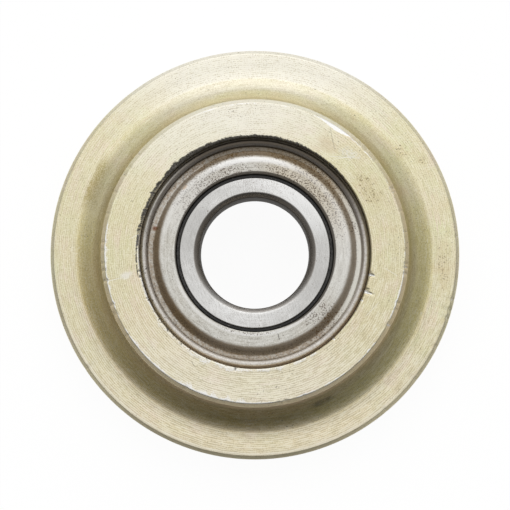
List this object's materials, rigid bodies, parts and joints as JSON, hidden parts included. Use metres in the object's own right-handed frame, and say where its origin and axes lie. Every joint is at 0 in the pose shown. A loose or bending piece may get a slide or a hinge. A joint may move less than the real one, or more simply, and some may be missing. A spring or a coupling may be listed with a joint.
{
  "type": "chain tensioner idler",
  "caption": "Smooth flanged idler wheel of plated steel on a shielded ball bearing, for guiding and tensioning a drive chain.",
  "frame": {"origin": "on the spin axis, at the flat rear face on which the wheel lies", "axes": "+Z along the spin axis towards the hub face; X and Y are free, with the first ball on +X"},
  "size_m": [0.094, 0.094, 0.019],
  "materials": {
    "plated_steel": "turned steel with a worn straw-coloured zinc plating",
    "ring_steel": "ground bearing steel with fine scratches",
    "shield_steel": "pressed sheet steel, dull, with rust specks and old grease",
    "cage_steel": "pressed sheet steel",
    "ball_steel": "polished bearing steel"
  },
  "bodies": {
    "inner_ring": {"bearing_inner_ring": "ring_steel"},
    "wheel": {"idler_wheel": "plated_steel", "bearing_outer_ring": "ring_steel", "front_shield": "shield_steel", "rear_shield": "shield_steel"},
    "cage": {"cage_front_half": "cage_steel", "cage_rear_half": "cage_steel", "cage_rivets": "cage_steel"},
    "ball_1": {"ball_1": "ball_steel"},
    "ball_2": {"ball_2": "ball_steel"},
    "ball_3": {"ball_3": "ball_steel"},
    "ball_4": {"ball_4": "ball_steel"},
    "ball_5": {"ball_5": "ball_steel"},
    "ball_6": {"ball_6": "ball_steel"},
    "ball_7": {"ball_7": "ball_steel"},
    "ball_8": {"ball_8": "ball_steel"},
    "ball_9": {"ball_9": "ball_steel"}
  },
  "joints": [
    {"name": "wheel_spin", "type": "hinge", "parent": "inner_ring", "child": "wheel", "pos_m": [0, 0, 0.01], "axis": [0, 0, 1], "continuous": true},
    {"name": "cage_spin", "type": "hinge", "parent": "inner_ring", "child": "cage", "pos_m": [0, 0, 0.01], "axis": [0, 0, 1], "continuous": true},
    {"name": "ball_1_roll", "type": "hinge", "parent": "cage", "child": "ball_1", "pos_m": [0.01925, 0, 0.01], "axis": [0, 0, 1], "continuous": true},
    {"name": "ball_2_roll", "type": "hinge", "parent": "cage", "child": "ball_2", "pos_m": [0.01475, 0.01237, 0.01], "axis": [0, 0, 1], "continuous": true},
    {"name": "ball_3_roll", "type": "hinge", "parent": "cage", "child": "ball_3", "pos_m": [0.00334, 0.01896, 0.01], "axis": [0, 0, 1], "continuous": true},
    {"name": "ball_4_roll", "type": "hinge", "parent": "cage", "child": "ball_4", "pos_m": [-0.00962, 0.01667, 0.01], "axis": [0, 0, 1], "continuous": true},
    {"name": "ball_5_roll", "type": "hinge", "parent": "cage", "child": "ball_5", "pos_m": [-0.01809, 0.00658, 0.01], "axis": [0, 0, 1], "continuous": true},
    {"name": "ball_6_roll", "type": "hinge", "parent": "cage", "child": "ball_6", "pos_m": [-0.01809, -0.00658, 0.01], "axis": [0, 0, 1], "continuous": true},
    {"name": "ball_7_roll", "type": "hinge", "parent": "cage", "child": "ball_7", "pos_m": [-0.00962, -0.01667, 0.01], "axis": [0, 0, 1], "continuous": true},
    {"name": "ball_8_roll", "type": "hinge", "parent": "cage", "child": "ball_8", "pos_m": [0.00334, -0.01896, 0.01], "axis": [0, 0, 1], "continuous": true},
    {"name": "ball_9_roll", "type": "hinge", "parent": "cage", "child": "ball_9", "pos_m": [0.01475, -0.01237, 0.01], "axis": [0, 0, 1], "continuous": true}
  ],
  "couplings": [
    {"joint": "cage_spin", "follows": "wheel_spin", "ratio": 0.60309},
    {"joint": "ball_1_roll", "follows": "wheel_spin", "ratio": 2.322},
    {"joint": "ball_2_roll", "follows": "wheel_spin", "ratio": 2.322},
    {"joint": "ball_3_roll", "follows": "wheel_spin", "ratio": 2.322},
    {"joint": "ball_4_roll", "follows": "wheel_spin", "ratio": 2.322},
    {"joint": "ball_5_roll", "follows": "wheel_spin", "ratio": 2.322},
    {"joint": "ball_6_roll", "follows": "wheel_spin", "ratio": 2.322},
    {"joint": "ball_7_roll", "follows": "wheel_spin", "ratio": 2.322},
    {"joint": "ball_8_roll", "follows": "wheel_spin", "ratio": 2.322},
    {"joint": "ball_9_roll", "follows": "wheel_spin", "ratio": 2.322}
  ]
}
